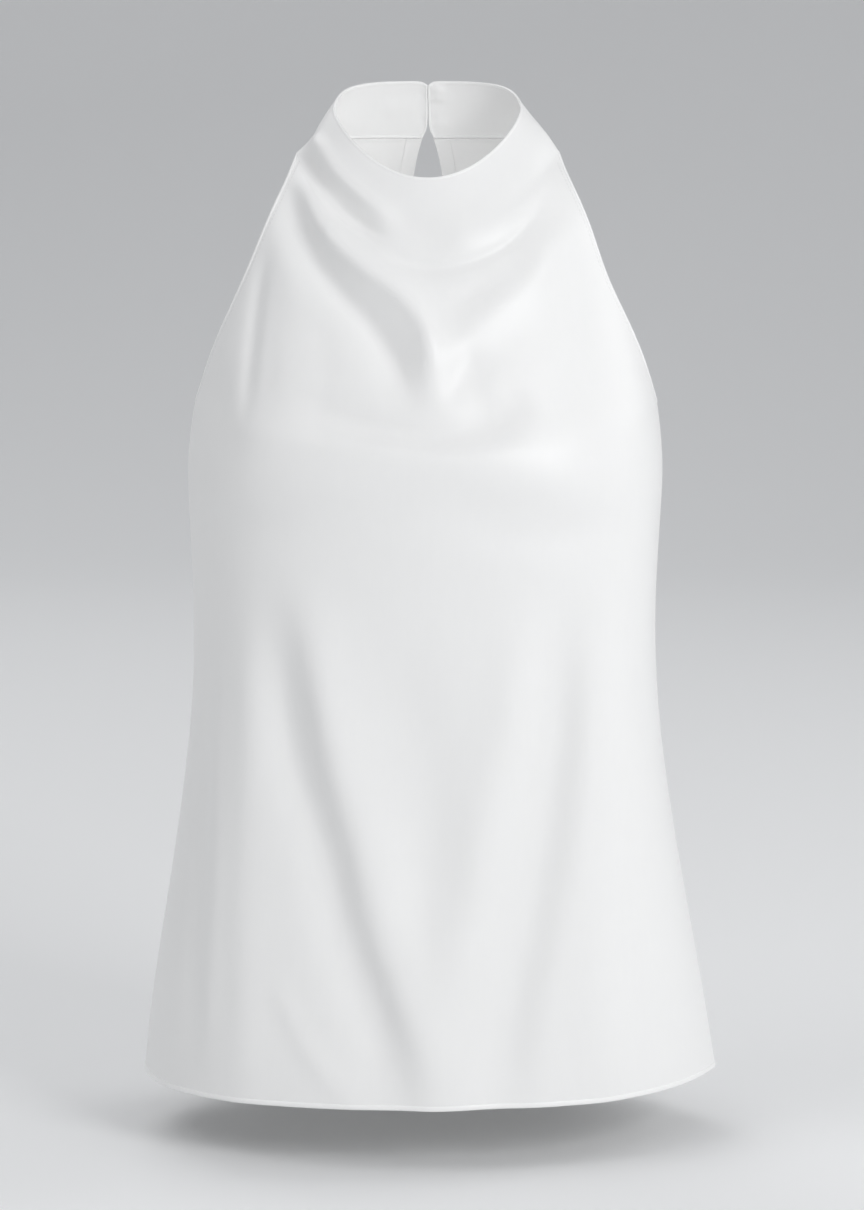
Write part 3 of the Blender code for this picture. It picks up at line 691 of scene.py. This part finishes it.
def make_edges():
    """The hem, the rolled edges and their stitching, each in one run round the panels."""
    hem = joined(front_runs["hem"], back_runs["hem"])
    pieces = [turned_edge("hem_turned", hem, HEM_BAND, closed=True)]
    threads = [stitched("hem_stitches", hem, HEM_STITCH)]
    for side in ("left", "right"):
        armhole = joined(front_runs[f"armhole {side}"], back_runs[f"armhole {side}"])
        pieces.append(turned_edge(f"armhole_{side}_rolled", armhole, ROLLED_EDGE, closed=True))
        threads.append(stitched(f"armhole_{side}_stitches", armhole, EDGE_STITCH))
    rim = joined(left_runs["rim left"], front_runs["neck"], right_runs["rim right"])
    pieces.append(turned_edge("neck_rolled", rim, ROLLED_EDGE, layer=DOUBLED))
    pieces.append(turned_edge("keyhole_rolled", back_runs["keyhole"], ROLLED_EDGE))
    for side, runs in (("left", left_runs), ("right", right_runs)):
        pieces.append(turned_edge(f"stand_{side}_seam", runs[f"stand seam {side}"], STAND_FOLD,
                                  layer=DOUBLED))
        pieces.append(turned_edge(f"stand_{side}_end", runs[f"end {side}"], STAND_END,
                                  layer=DOUBLED))
    # The turned edges take the lighter satin, a painted highlight on their rims.
    for piece in pieces:
        belong(piece, "satin", TURNED_HIGHLIGHT_SATIN)
    for thread in threads:
        belong(thread, "satin", THREAD)
    return pieces + threads


def declare_sheets(panels, edges):
    """Sorts the turned edges and stitches by the panel they are sewn on, into lists that are not
    kept.
    """
    sewn_on = {name: [] for name in panels}
    for edge in edges:
        owner = edge.name.split("_")[:2]
        if owner[0] == "keyhole":
            sewn_on["back"].append(edge)
        elif owner[0] == "stand":
            sewn_on[f"collar_{owner[1]}"].append(edge)
        else:
            sewn_on["front"].append(edge)


def make_closure(node):
    """A covered button or its loop, on its solid's form."""
    piece = own_copy(node, f"satin_{node}")
    apply(piece, "SUBSURF", levels=FINENESS, render_levels=FINENESS)
    smooth_shade(piece)
    belong(piece, "covered_button" if "button" in node else "loop_cord", SATIN, node)


def make_floor():
    """A plain pale floor that sweeps up behind."""
    ground = CAD_BOX[0][2] - FLOOR_DROP
    bpy.ops.mesh.primitive_plane_add(size=FLOOR_SIZE,
                                     location=(0, FLOOR_BACK - FLOOR_SIZE / 2, ground))
    floor = bpy.context.object
    floor.name = "floor"
    select_only(floor)
    bpy.ops.object.transform_apply(location=True)
    bpy.ops.object.mode_set(mode="EDIT")
    bpy.ops.mesh.select_all(action="DESELECT")
    mesh = bmesh.from_edit_mesh(floor.data)
    back = max(mesh.edges, key=lambda e: e.verts[0].co.y + e.verts[1].co.y)
    back.select_set(True)
    bmesh.update_edit_mesh(floor.data)
    bpy.ops.mesh.extrude_region_move(TRANSFORM_OT_translate={"value": (0, 0, BACKDROP_HEIGHT)})
    bpy.ops.mesh.select_all(action="DESELECT")
    mesh = bmesh.from_edit_mesh(floor.data)
    fold = next(e for e in mesh.edges if len(e.link_faces) == 2)
    fold.select_set(True)
    bmesh.update_edit_mesh(floor.data)
    bpy.ops.mesh.bevel(offset=SWEEP, segments=SWEEP_STEPS, affect="EDGES")
    bpy.ops.object.mode_set(mode="OBJECT")
    smooth_shade(floor)
    paint = Finish("pale floor")
    floor.data.materials.append(paint.shade(Base_Color=FLOOR_PAINT, Roughness=FLOOR_ROUGHNESS))


def make_light():
    """Soft light from the sky and lamps, most of it from the right, and a little inside."""
    world = bpy.data.worlds.new("studio")
    sky = Nodes(world, "Background")
    height = sky.node("ShaderNodeSeparateXYZ", None, sky.node("ShaderNodeTexCoord")[:1])[2]
    sky.shade(Color=SKY_TINT, Strength=height * SKY_UP + SKY)
    bpy.context.scene.world = world
    for name, place, size, power in LAMPS:
        bpy.ops.object.light_add(type="AREA", location=place)
        light = bpy.context.object
        light.name = name
        light.data.size = size
        light.data.energy = power
        light.rotation_euler = (MIDDLE - Vector(place)).to_track_quat("-Z", "Y").to_euler()
    place, radius, power = INNER_LIGHT
    bpy.ops.object.light_add(type="POINT", location=place)
    glow = bpy.context.object
    glow.name = "light through the cloth"
    glow.data.shadow_soft_size = radius
    glow.data.energy = power
    glow.visible_camera = False
    bpy.context.scene.view_settings.view_transform = "Standard"


def make_camera():
    """At the photograph's viewing angle, seven degrees above level."""
    forward = Vector((0, math.cos(CAMERA_LIFT), -math.sin(CAMERA_LIFT)))
    bpy.ops.object.camera_add(location=CAMERA_TARGET - CAMERA_DISTANCE * forward)
    camera = bpy.context.object
    camera.rotation_euler = forward.to_track_quat("-Z", "Y").to_euler()
    camera.data.sensor_width = SENSOR
    camera.data.lens = SENSOR * CAMERA_DISTANCE / (MM_PER_PIXEL * MM * max(PHOTO_SIZE))
    bpy.context.scene.camera = camera


make_camera()
SATIN = satin_finish("white satin", WHITE, SATIN_ROUGHNESS)
# Satin for the turned edges, painted lighter as a highlight on the rims
TURNED_HIGHLIGHT_SATIN = satin_finish("white satin, doubled over", TURNED_HIGHLIGHT_WHITE, TURNED_ROUGHNESS)
THREAD = thread_finish("white thread", THREAD_WHITE)
STITCH = stitch_shape()
front, front_runs = make_panel("front", FRONT_CREASES, SINGLE)
back, back_runs = make_panel("back", BACK_CREASES, SINGLE)
left, left_runs = make_panel("collar_left", LEFT_STAND_CREASES, DOUBLED)
right, right_runs = make_panel("collar_right", RIGHT_STAND_CREASES, DOUBLED)
facing = make_panel("keyhole_facing", (), PRESSED, FACING_WALL, FACING_SHIFT)[0]
declare_sheets({"front": front, "back": back, "collar_left": left, "collar_right": right,
                "keyhole_facing": facing}, make_edges())
for node in ("button_upper", "button_lower", "loop_upper", "loop_lower"):
    make_closure(node)
make_floor()
make_light()
